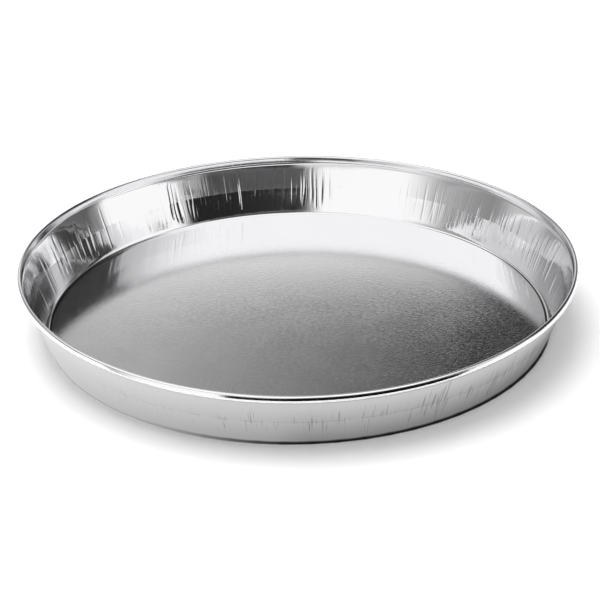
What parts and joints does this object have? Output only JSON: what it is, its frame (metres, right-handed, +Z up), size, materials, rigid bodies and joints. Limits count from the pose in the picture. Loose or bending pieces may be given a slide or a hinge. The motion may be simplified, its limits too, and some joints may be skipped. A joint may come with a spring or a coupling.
{
  "type": "foil pie tin",
  "caption": "Round shallow foil tin with a flat floor, a flared wrinkled wall, a small shoulder and a rolled rim, for baking and holding a pie.",
  "frame": {"origin": "middle of the flat underside, on the surface the tin stands on", "axes": "+Z up through the middle of the tin, X and Y across the rim"},
  "size_m": [0.228, 0.228, 0.0275],
  "materials": {
    "foil": "bright rolled foil, satin on the floor"
  },
  "bodies": {
    "root": {"pie_tin": "foil"}
  },
  "joints": []
}
